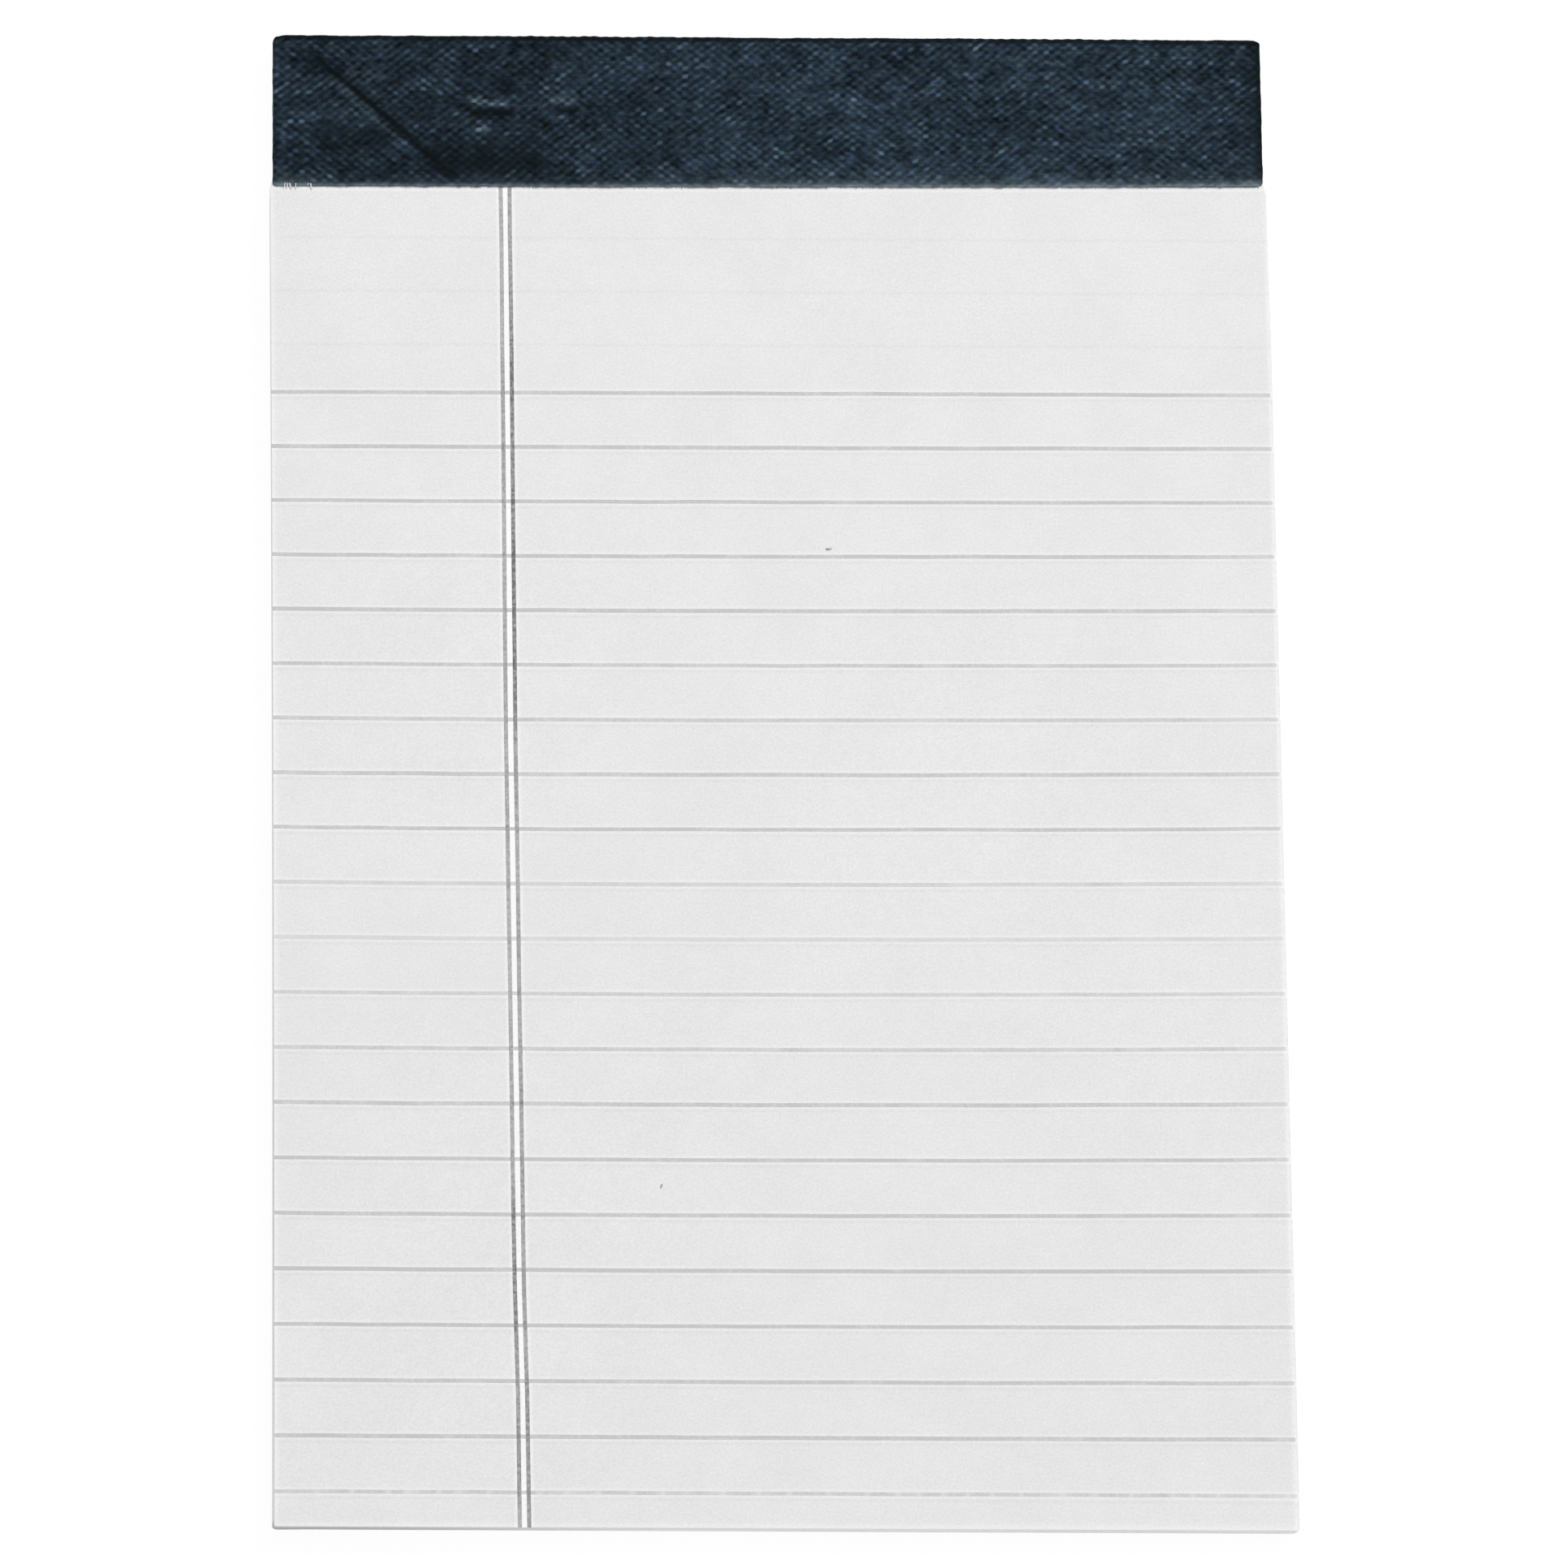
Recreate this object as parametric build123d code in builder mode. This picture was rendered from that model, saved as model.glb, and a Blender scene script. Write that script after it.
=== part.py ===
from build123d import *
import os

# A ruled writing pad, stitched with wire at the head and bound with cloth tape.
# It lies on its back: +Z up, the taped head at +Y, +X to the right of the reader.
# The origin is under the middle of the whole pad, on the surface it lies on. Millimetres.

# Stack
sheet_width = 130.0
sheet_length = 194.75
sheet_count = 50
sheet_thickness = 0.075
board_thickness = 0.7
board_side_inset = 0.5
board_foot_inset = 0.3
head_corner_radius = 1.0
foot_corner_radius = 0.4
head_edge_radius = 0.5

# Cloth tape over the head
tape_thickness = 0.25
tape_front_drop = 20.0
tape_back_drop = 18.0
tape_side_inset = 0.4
tape_head_corner = 1.0
tape_leg_corner = 0.7

# Wire stitches through the stack
wire_diameter = 0.5
stitch_crown = 14.1
stitch_from_side = 33.2
stitch_from_head = 9.3
clinch_length = 5.0
left_clinch_sunk = 0.15
right_clinch_sunk = 0.35
wire_bend_radius = 0.6
wire_clearance = 0.02

# Print on the top sheet
rule_spacing = 7.14
first_rule_from_head = 48.0
last_rule_clear_of_foot = 2.0
rule_width = 0.3
rule_stop_right = 0.3
margin_from_left = 31.0
margin_gap = 1.19
margin_width = 0.4
margin_lean = 0.4
ink_depth = 0.02

# Heights and places that follow from the sizes
head_y = (sheet_length - tape_thickness) / 2
foot_y = head_y - sheet_length
sheet_middle_y = (head_y + foot_y) / 2
board_bottom_z = tape_thickness
board_top_z = board_bottom_z + board_thickness
page_top_z = board_top_z + sheet_count * sheet_thickness
tape_top_z = page_top_z + tape_thickness
tape_outer_y = head_y + tape_thickness
board_width = sheet_width - 2 * board_side_inset
board_length = sheet_length - board_foot_inset
tape_width = sheet_width - 2 * tape_side_inset
tape_plan_length = 2 * max(tape_front_drop, tape_back_drop)
head_bend = min(head_edge_radius, 0.45 * (page_top_z - board_top_z))
stitch_x = sheet_width / 2 - stitch_from_side
stitch_y = head_y - stitch_from_head
leg_x = (stitch_crown - wire_diameter) / 2
crown_z = board_bottom_z + wire_diameter / 2
left_clinch_z = page_top_z - left_clinch_sunk + wire_diameter / 2
right_clinch_z = page_top_z - right_clinch_sunk + wire_diameter / 2
stitches = ((-stitch_x, left_clinch_z), (stitch_x, right_clinch_z))
rule_count = int((sheet_length - first_rule_from_head - last_rule_clear_of_foot) / rule_spacing) + 1
first_rule_y = head_y - first_rule_from_head
rules_middle_y = first_rule_y - (rule_count - 1) * rule_spacing / 2
margin_x = margin_from_left - sheet_width / 2

os.makedirs("parts", exist_ok=True)


def bent_wires(radius):
    """Both stitches as round bars of one radius: clinch, leg, crown at the back, leg, clinch."""
    with BuildPart() as wires:
        for centre_x, clinch_z in stitches:
            with BuildLine() as run:
                FilletPolyline(
                    (centre_x - leg_x + clinch_length, stitch_y, clinch_z),
                    (centre_x - leg_x, stitch_y, clinch_z),
                    (centre_x - leg_x, stitch_y, crown_z),
                    (centre_x + leg_x, stitch_y, crown_z),
                    (centre_x + leg_x, stitch_y, clinch_z),
                    (centre_x + leg_x - clinch_length, stitch_y, clinch_z),
                    radius=wire_bend_radius,
                )
            with BuildSketch(Plane(run.line @ 0, z_dir=run.line % 0)):
                Circle(radius)
            sweep(path=run.line)
    return wires


# Wire stitches, and the channels that they press into the stack
wire_stitches = bent_wires(wire_diameter / 2)
wire_stitches.part.label = "wire_stitches"
export_step(wire_stitches.part, "parts/wire_stitches.step")

wire_channels = bent_wires(wire_diameter / 2 + wire_clearance)

# Margin rule on the top sheet: a double line of ink soaked into the paper, printed a little askew
with BuildPart() as margin_lines:
    with BuildSketch(Plane.XY.offset(page_top_z - ink_depth)):
        with Locations((margin_x, sheet_middle_y)):
            with GridLocations(margin_gap, 0, 2, 1):
                Rectangle(margin_width, 2 * sheet_length, rotation=margin_lean)
        with Locations((0, foot_y)):
            flat_length = sheet_length - head_bend
            Rectangle(sheet_width, flat_length, align=(Align.CENTER, Align.MIN), mode=Mode.INTERSECT)
    extrude(amount=ink_depth)
    add(wire_channels.part, mode=Mode.SUBTRACT)

margin_lines.part.label = "margin_lines"
export_step(margin_lines.part, "parts/margin_lines.step")

# Writing rules across the top sheet, broken where the margin crosses them
with BuildPart() as rule_lines:
    with BuildSketch(Plane.XY.offset(page_top_z - ink_depth)):
        with Locations((-rule_stop_right / 2, rules_middle_y)):
            with GridLocations(0, rule_spacing, 1, rule_count):
                Rectangle(sheet_width - rule_stop_right, rule_width)
    extrude(amount=ink_depth)
    add(margin_lines.part, mode=Mode.SUBTRACT)

rule_lines.part.label = "rule_lines"
export_step(rule_lines.part, "parts/rule_lines.step")


def sheet_outline(width, length):
    """One sheet or board seen from above, its head corners rounder than its foot corners."""
    with BuildSketch() as outline:
        with Locations((0, head_y)):
            Rectangle(width, length, align=(Align.CENTER, Align.MAX))
        fillet(outline.vertices().group_by(Axis.Y)[-1], radius=head_corner_radius)
        fillet(outline.vertices().group_by(Axis.Y)[0], radius=foot_corner_radius)
    return outline.sketch


# Backing board of grey chipboard, a little smaller than the sheets, which damp air has swollen,
# with the crowns of the stitches pulled into its back
with BuildPart() as backing_board:
    with BuildSketch(Plane.XY.offset(board_bottom_z)):
        add(sheet_outline(board_width, board_length))
    extrude(amount=board_thickness)
    add(wire_channels.part, mode=Mode.SUBTRACT)

backing_board.part.label = "backing_board"
export_step(backing_board.part, "parts/backing_board.step")

# Sheets as one block, pressed round along the upper head edge, stitched through and printed
with BuildPart() as page_block:
    with BuildSketch(Plane.XY.offset(board_top_z)):
        add(sheet_outline(sheet_width, sheet_length))
    extrude(amount=page_top_z - board_top_z)
    top_edges = page_block.faces().sort_by(Axis.Z)[-1].edges()
    fillet(top_edges.filter_by(Axis.X).sort_by(Axis.Y)[-1], radius=head_bend)
    add(wire_channels.part, mode=Mode.SUBTRACT)
    add(rule_lines.part, mode=Mode.SUBTRACT)
    add(margin_lines.part, mode=Mode.SUBTRACT)

page_block.part.label = "page_block"
export_step(page_block.part, "parts/page_block.step")

# Raised stretches of the tape over the clinched ends of the stitches
with BuildPart() as clinch_bumps:
    for centre_x, clinch_z in stitches:
        for inward in (1, -1):
            bump_start = centre_x - inward * leg_x
            bump_end = bump_start + inward * clinch_length
            with Locations(((bump_start + bump_end) / 2, stitch_y, clinch_z)):
                Cylinder(wire_diameter / 2 + tape_thickness, clinch_length, rotation=(0, 90, 0))
            with Locations((bump_start, stitch_y, clinch_z), (bump_end, stitch_y, clinch_z)):
                Sphere(wire_diameter / 2 + tape_thickness)
    split(bisect_by=Plane.XY.offset(page_top_z), keep=Keep.TOP)

# Cloth tape: front leg, bend over the head edge, and back leg between the pad and the table
with BuildPart() as binding_tape:
    with BuildSketch(Plane.YZ):
        with BuildLine():
            front = Line((head_y - tape_front_drop, tape_top_z), (head_y - head_bend, tape_top_z))
            bend = RadiusArc(front @ 1, (tape_outer_y, page_top_z - head_bend), head_bend + tape_thickness)
            spine = Line(bend @ 1, (tape_outer_y, 2 * tape_thickness))
            turn = RadiusArc(spine @ 1, (tape_outer_y - 2 * tape_thickness, 0), 2 * tape_thickness)
            back = Polyline(
                turn @ 1,
                (head_y - tape_back_drop, 0),
                (head_y - tape_back_drop, board_bottom_z),
                (head_y, board_bottom_z),
                (head_y, page_top_z - head_bend),
            )
            inner_bend = RadiusArc(back @ 1, (head_y - head_bend, page_top_z), -head_bend)
            Polyline(inner_bend @ 1, (head_y - tape_front_drop, page_top_z), front @ 0)
        make_face()
    extrude(amount=tape_width / 2, both=True)
    with BuildSketch() as tape_plan:
        with Locations((0, tape_outer_y)):
            Rectangle(tape_width, tape_plan_length, align=(Align.CENTER, Align.MAX))
        fillet(tape_plan.vertices().group_by(Axis.Y)[-1], radius=tape_head_corner)
    extrude(amount=tape_top_z, mode=Mode.INTERSECT)
    leg_ends = binding_tape.edges().filter_by(Axis.Z).filter_by(
        lambda edge: edge.center().Y < head_y - min(tape_front_drop, tape_back_drop) + tape_thickness
    )
    fillet(leg_ends, radius=tape_leg_corner)
    add(clinch_bumps.part)
    add(wire_channels.part, mode=Mode.SUBTRACT)

binding_tape.part.label = "binding_tape"
export_step(binding_tape.part, "parts/binding_tape.step")
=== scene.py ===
import math

import bpy
import numpy as np
from mathutils import Matrix, Vector


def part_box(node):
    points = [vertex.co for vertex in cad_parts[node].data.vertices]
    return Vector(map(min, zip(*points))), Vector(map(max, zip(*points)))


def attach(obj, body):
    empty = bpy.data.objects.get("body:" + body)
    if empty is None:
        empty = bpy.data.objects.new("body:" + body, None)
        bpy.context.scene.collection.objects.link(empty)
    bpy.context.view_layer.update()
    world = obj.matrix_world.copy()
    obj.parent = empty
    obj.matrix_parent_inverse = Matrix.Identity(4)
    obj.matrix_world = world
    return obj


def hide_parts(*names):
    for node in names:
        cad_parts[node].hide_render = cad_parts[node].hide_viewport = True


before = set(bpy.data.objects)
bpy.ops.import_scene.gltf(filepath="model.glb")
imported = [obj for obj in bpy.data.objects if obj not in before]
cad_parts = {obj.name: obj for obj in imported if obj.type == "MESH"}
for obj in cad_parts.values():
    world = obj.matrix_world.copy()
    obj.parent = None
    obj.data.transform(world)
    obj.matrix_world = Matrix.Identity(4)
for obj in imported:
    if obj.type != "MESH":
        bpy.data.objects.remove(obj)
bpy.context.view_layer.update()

MM = 0.001
rng = np.random.default_rng(5)

# Sizes read from the frame
page_low, page_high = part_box("page_block")
board_low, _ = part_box("backing_board")
tape_low, tape_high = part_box("binding_tape")
rules_low, rules_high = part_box("rule_lines")
margin_low, margin_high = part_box("margin_lines")
wires_low, wires_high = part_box("wire_stitches")

half_sheet = (page_high.x - page_low.x) / 2
foot_y = page_low.y
head_y = page_high.y
stack_low_z = page_low.z
page_top_z = page_high.z
tape_thickness = board_low.z
tape_half = (tape_high.x - tape_low.x) / 2
tape_foot_y = tape_low.y
stitch_y = (wires_low.y + wires_high.y) / 2

# Sizes repeated from the part's source
SHEET_COUNT = 50
HEAD_BEND = 0.5 * MM
TAPE_BACK_DROP = 18.0 * MM
RULE_SPACING = 7.14 * MM
RULE_STOP_RIGHT = 0.3 * MM
MARGIN_GAP = 1.19 * MM
MARGIN_LEAN = math.radians(0.4)
STITCH_CROWN = 14.1 * MM
CLINCH_LENGTH = 5.0 * MM

# Sizes of the print as it looks in the photo, where its lines are wider than in the part's source
RULE_WIDTH = 0.5 * MM
MARGIN_WIDTH = 0.52 * MM
MARGIN_SHIFT = 0.07 * MM
PRINT_INSET = 0.02 * MM

margin_x = (margin_low.x + margin_high.x) / 2 + MARGIN_SHIFT
sheet_middle_y = (foot_y + head_y) / 2
rule_count = round((rules_high.y - rules_low.y) / RULE_SPACING) + 1
first_rule_y = rules_high.y - RULE_WIDTH / 2


# Small numeric helpers

def smooth(low, high, value):
    """0 below low, 1 above high, and a soft step between them."""
    share = np.clip((value - low) / (high - low), 0, 1)
    return share * share * (3 - 2 * share)


def wander(length, step, reach, seed):
    """A smooth random line: values every `step` along `length`, about `reach` up and down."""
    points = np.random.default_rng(seed).normal(0, reach, int(length / step) + 4)
    return lambda at: np.interp(np.asarray(at) / step, np.arange(len(points)), points)


def spaced(start, stop, fine, coarse, edge):
    """Values from start to stop, `fine` apart within `edge` of either end and `coarse` between."""
    low = np.arange(start, start + edge, fine)
    high = np.arange(stop, stop - edge, -fine)[::-1]
    count = max(int((stop - start - 2 * edge) / coarse), 1)
    middle = np.linspace(low[-1], high[0], count + 2)[1:-1]
    return np.concatenate([low, middle, high])


# The top sheet's surface, which everything printed on it follows

ROLL_RIGHT_HEAD = 0.45 * MM
ROLL_RIGHT_FOOT = 0.95 * MM
ROLL_RIGHT_DROP = 0.26 * MM
ROLL_LEFT = 0.35 * MM
ROLL_LEFT_DROP = 0.1 * MM
ROLL_FOOT = 0.25 * MM
ROLL_FOOT_DROP = 0.05 * MM
PAGE_WAVE = 0.045 * MM
FOOT_SLANT = 0.0092
FOOT_SLANT_FROM = -47 * MM
FOOT_SLANT_REACH = 3.2 * MM


def foot_share(y):
    """0 under the tape, growing evenly to 1 at the foot."""
    return np.clip((tape_foot_y - y) / (tape_foot_y - foot_y), 0, 1)


def slanted(x, y):
    """Moves what lies near the foot along the pad, because its foot edge is cut a little askew."""
    return y - FOOT_SLANT * (x - FOOT_SLANT_FROM) * np.clip(1 - (y - foot_y) / FOOT_SLANT_REACH, 0, 1)


def sheet_rise(x, y):
    """How far the upper face of the stack stands above a flat one, in metres."""
    free = smooth(0, 0.08, foot_share(y))
    wave = PAGE_WAVE * (np.sin(x / (17 * MM) + 0.6) * np.sin(y / (23 * MM) + 1.1)
                        + 0.8 * np.sin(x / (41 * MM) - y / (29 * MM)))
    wide = ROLL_RIGHT_HEAD + (ROLL_RIGHT_FOOT - ROLL_RIGHT_HEAD) * foot_share(y) ** 2
    right = ROLL_RIGHT_DROP * np.clip(1 - (half_sheet - x) / wide, 0, 1) ** 2.6
    right = right * (0.4 + 0.6 * foot_share(y))
    left = ROLL_LEFT_DROP * np.clip(1 - (half_sheet + x) / ROLL_LEFT, 0, 1) ** 2
    foot = ROLL_FOOT_DROP * np.clip(1 - (y - foot_y) / ROLL_FOOT, 0, 1) ** 2
    return free * (wave - right - left - foot)


def stack_point(x, y, height_share):
    """A point of the stack: height_share is 0 on the board and 1 on the top sheet."""
    into_bend = np.maximum(y - head_y + HEAD_BEND, 0)
    head_round = HEAD_BEND - np.sqrt(np.maximum(HEAD_BEND ** 2 - into_bend ** 2, 0))
    depth = page_top_z - stack_low_z
    return stack_low_z + height_share * (depth + sheet_rise(x, y)) - height_share ** 8 * head_round


# How the web of paper wandered under the press, in mm: the rules are tilted, fan apart and bow a little
PRINT_SHIFT = -0.11
PRINT_TILT = -0.11
PRINT_FAN = -0.33
PRINT_SKEW = -0.14
BOW_ALONG = 0.42
BOW_ACROSS = 0.28

# How far the margin line lies to the right of its even place, in mm, at these places along the sheet
MARGIN_DRIFT_ALONG = (-95.0, -81.0, -67.0, -38.0, 4.0, 39.0, 68.0)
MARGIN_DRIFT = (0.2, 0.2, -0.03, -0.1, -0.2, -0.1, 0.0)


def drift(x, y):
    """How far the print at a point lies towards the head of its even place, in metres."""
    across = x / half_sheet
    along = np.clip(2 * (first_rule_y - y) / (RULE_SPACING * (rule_count - 1)) - 1, -1, 1)
    tilted = PRINT_TILT * (across + along) + PRINT_FAN * across * along + PRINT_SKEW * across * along ** 2
    bowed = BOW_ALONG * along ** 2 + BOW_ACROSS * across ** 2 * (1 - along ** 2)
    return (PRINT_SHIFT + tilted + bowed) * MM


def to_rule(x, y):
    """Distance along the pad from a printed point to the nearest rule, in metres."""
    row = (first_rule_y - y + drift(x, y)) / RULE_SPACING
    return np.abs(row - np.clip(np.round(row), 0, rule_count - 1)) * RULE_SPACING


def margin_centre(y):
    """Where the middle of the double margin line lies at y, in metres."""
    wandered = np.interp(y / MM, MARGIN_DRIFT_ALONG, MARGIN_DRIFT) * MM
    return margin_x - math.tan(MARGIN_LEAN) * (y - sheet_middle_y) + wandered


# Mesh building

def new_mesh(name, points, faces, smooth_shaded=True):
    """A mesh object from an array of points and a list of faces."""
    mesh = bpy.data.meshes.new(name)
    mesh.from_pydata(np.asarray(points, float).tolist(), [], faces)
    mesh.validate()
    mesh.update()
    mesh.shade_smooth() if smooth_shaded else mesh.shade_flat()
    piece = bpy.data.objects.new(name, mesh)
    bpy.context.scene.collection.objects.link(piece)
    return piece


def grid_faces(rows, columns, first=0, flipped=False):
    """Quads of a grid of points that are stored row after row."""
    at = first + np.arange(rows * columns).reshape(rows, columns)
    quads = np.stack([at[:-1, :-1], at[:-1, 1:], at[1:, 1:], at[1:, :-1]], axis=-1).reshape(-1, 4)
    return quads[:, ::-1].tolist() if flipped else quads.tolist()


def rim(rows, columns, first=0):
    """The points round the edge of such a grid, in order."""
    at = first + np.arange(rows * columns).reshape(rows, columns)
    return np.concatenate([at[0, :-1], at[:-1, -1], at[-1, :0:-1], at[:0:-1, 0]])


def closed_sheet(name, upper, lower):
    """A thin closed solid from the same grid of points on its upper and its lower face."""
    rows, columns = upper.shape[:2]
    count = rows * columns
    faces = grid_faces(rows, columns) + grid_faces(rows, columns, count, flipped=True)
    above = rim(rows, columns)
    below = rim(rows, columns, count)
    for a, b, c, d in zip(above, np.roll(above, -1), np.roll(below, -1), below):
        faces.append([int(b), int(a), int(d), int(c)])
    return new_mesh(name, np.concatenate([upper.reshape(-1, 3), lower.reshape(-1, 3)]), faces)


def set_attribute(piece, name, values):
    """Stores one number for each point, for the material to read."""
    attribute = piece.data.attributes.new(name, "FLOAT", "POINT")
    attribute.data.foreach_set("value", np.asarray(values, np.float32).ravel())


# Materials

class Graph:
    """A material's nodes, with a short call for each kind that repeats."""

    def __init__(self, name, roughness, specular):
        self.material = bpy.data.materials.new(name)
        self.material.use_nodes = True
        self.tree = self.material.node_tree
        self.shader = self.tree.nodes["Principled BSDF"]
        self.shader.inputs["Roughness"].default_value = roughness
        self.shader.inputs["Specular IOR Level"].default_value = specular
        place = self.tree.nodes.new("ShaderNodeTexCoord").outputs["Object"]
        self.place = self.stretched(place, (1000, 1000, 1000))

    def wire(self, value, socket):
        if isinstance(value, bpy.types.NodeSocket):
            self.tree.links.new(value, socket)
        else:
            socket.default_value = value

    def math(self, operation, a, b=0.0, c=0.0):
        node = self.tree.nodes.new("ShaderNodeMath")
        node.operation = operation
        for value, socket in zip((a, b, c), node.inputs):
            self.wire(value, socket)
        return node.outputs[0]

    def stretched(self, vector, factors):
        """The vector with each of its parts times its own factor."""
        node = self.tree.nodes.new("ShaderNodeVectorMath")
        node.operation = "MULTIPLY"
        self.wire(vector, node.inputs[0])
        self.wire(factors, node.inputs[1])
        return node.outputs[0]

    def parts(self, vector):
        node = self.tree.nodes.new("ShaderNodeSeparateXYZ")
        self.wire(vector, node.inputs[0])
        return node.outputs

    def joined(self, x, y, z=0.0):
        node = self.tree.nodes.new("ShaderNodeCombineXYZ")
        for value, socket in zip((x, y, z), node.inputs):
            self.wire(value, socket)
        return node.outputs[0]

    def attribute(self, name):
        node = self.tree.nodes.new("ShaderNodeAttribute")
        node.attribute_name = name
        return node.outputs["Fac"]

    def noise(self, vector, scale, detail=2.0, roughness=0.5):
        node = self.tree.nodes.new("ShaderNodeTexNoise")
        self.wire(vector, node.inputs["Vector"])
        node.inputs["Scale"].default_value = scale
        node.inputs["Detail"].default_value = detail
        node.inputs["Roughness"].default_value = roughness
        return node.outputs["Fac"]

    def scatter(self, vector):
        """A number from 0 to 1 that is unrelated from one vector to the next."""
        node = self.tree.nodes.new("ShaderNodeTexWhiteNoise")
        self.wire(vector, node.inputs["Vector"])
        return node.outputs["Value"]

    def step(self, value, low, high, to_low=0.0, to_high=1.0):
        node = self.tree.nodes.new("ShaderNodeMapRange")
        node.interpolation_type = "SMOOTHSTEP"
        self.wire(value, node.inputs["Value"])
        for name, number in zip(("From Min", "From Max", "To Min", "To Max"), (low, high, to_low, to_high)):
            node.inputs[name].default_value = number
        return node.outputs["Result"]

    def mix(self, share, a, b, blend="MIX"):
        node = self.tree.nodes.new("ShaderNodeMix")
        node.data_type = "RGBA"
        node.blend_type = blend
        self.wire(share, node.inputs["Factor"])
        for value, name in ((a, "A"), (b, "B")):
            socket = [s for s in node.inputs if s.name == name and s.type == "RGBA"][0]
            self.wire(value, socket)
        return [s for s in node.outputs if s.type == "RGBA"][0]

    def shade(self, colour, share):
        """The colour times a number."""
        return self.mix(1.0, colour, self.joined(share, share, share), blend="MULTIPLY")

    def colour(self, value):
        self.wire(value, self.shader.inputs["Base Color"])

    def bump(self, height, distance, strength=1.0):
        node = self.tree.nodes.new("ShaderNodeBump")
        node.inputs["Distance"].default_value = distance
        node.inputs["Strength"].default_value = strength
        self.wire(height, node.inputs["Height"])
        self.tree.links.new(node.outputs["Normal"], self.shader.inputs["Normal"])


def grey(level, blue=1.0):
    """A linear colour from an 8-bit grey level."""
    value = ((level / 255 + 0.055) / 1.055) ** 2.4
    return (value, value, min(value * blue, 1.0), 1.0)


def colour8(red, green, blue):
    """A linear colour from 8-bit red, green and blue."""
    return tuple(grey(level)[0] for level in (red, green, blue)) + (1.0,)


# Lightness of paper and ink, as 8-bit greys
PAGE_GREY = 231
EDGE_GREY = 242
RULE_GREY = 197
MARGIN_GREY = 108
FLECK_GREY = 150

# The other side's ruling, which shows through the top sheet
GHOST_STRENGTH = 0.035
GHOST_BELOW = 0.75 * MM
GHOST_HEADER_LINES = 3


def paper_material():
    """Uncoated writing paper: fine grain, soft clouds, and the other side's ruling showing through."""
    g = Graph("paper", roughness=0.85, specular=0.2)
    x, y, _ = g.parts(g.place)
    printed = g.attribute("printed")
    grain = g.noise(g.place, 3.2, detail=3.0, roughness=0.7)
    cloud = g.noise(g.place, 0.11, detail=2.0)
    fleece = g.noise(g.place, 0.7, detail=2.0)
    tone = g.math("ADD", g.step(grain, 0.2, 0.8, 0.93, 1.07), g.step(cloud, 0.3, 0.7, -0.012, 0.012))
    tone = g.math("ADD", tone, g.step(fleece, 0.3, 0.7, -0.008, 0.008))
    # painted shade: the paper a little darker towards the foot
    tone = g.math("ADD", tone, g.step(y, -100.0, 40.0, -0.016, -0.002))

    def from_lines(lowest):
        """How far a point is from the nearest of a set of lines, as a share of their spacing."""
        phase = g.math("DIVIDE", g.math("SUBTRACT", printed, lowest), RULE_SPACING / MM)
        return g.math("ABSOLUTE", g.math("SUBTRACT", phase, g.math("ROUND", phase)))

    def between(value, lowest, highest):
        """1 from the lowest line to the highest, and 0 from 2 mm outside them."""
        return g.math("MULTIPLY", g.step(value, lowest - 2, lowest - 1),
                      g.step(value, highest + 1, highest + 2, 1.0, 0.0))

    # faint lines of the other side, a little below each rule and on up into the heading
    lowest_ghost = (first_rule_y - GHOST_BELOW) / MM - (rule_count - 1) * RULE_SPACING / MM
    highest_ghost = (first_rule_y - GHOST_BELOW) / MM + GHOST_HEADER_LINES * RULE_SPACING / MM
    line = g.step(from_lines(lowest_ghost), 0.0, 0.05, 1.0, 0.0)
    line = g.math("MULTIPLY", line, between(y, lowest_ghost, highest_ghost))
    ghost = g.math("MULTIPLY", line, GHOST_STRENGTH)

    # paper a little brighter close beside each rule
    lowest_rule = first_rule_y / MM - (rule_count - 1) * RULE_SPACING / MM
    beside_rule = g.step(from_lines(lowest_rule), 0.06, 0.105, 0.045, 0.0)
    beside_rule = g.math("MULTIPLY", beside_rule, between(printed, lowest_rule, first_rule_y / MM))

    # a brighter strip of paper in and beside the double margin line
    beside = g.math("ABSOLUTE", g.attribute("from_margin"))
    halo = g.math("ADD", g.step(beside, 0.2, 0.7, 0.1, 0.0), g.step(beside, 1.0, 1.4, 0.09, 0.0))

    # painted highlight: a light line along the cut edges and beside the tape, over the shade of the rolled
    # edges and of the tape
    tape_edge = g.math("MULTIPLY_ADD", g.math("MULTIPLY", x, x), FOOT_EDGE_BEND * MM,
                       (tape_foot_y + FOOT_EDGE_SHIFT) / MM)
    below_tape = g.math("SUBTRACT", y, g.math("MULTIPLY_ADD", x, FOOT_EDGE_SLANT, tape_edge))
    beside_tape = g.step(below_tape, -0.75, -0.4, 0.0, 0.085)
    light = g.math("MAXIMUM", g.math("MULTIPLY", g.attribute("rim"), 0.11), beside_tape)
    light = g.math("ADD", light, beside_rule)
    tone = g.math("ADD", g.math("ADD", g.math("SUBTRACT", tone, ghost), halo), light)
    g.colour(g.shade(grey(PAGE_GREY), tone))
    g.bump(g.math("ADD", grain, g.math("MULTIPLY", fleece, 1.5)), 0.01 * MM, 0.5)
    return g.material


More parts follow.
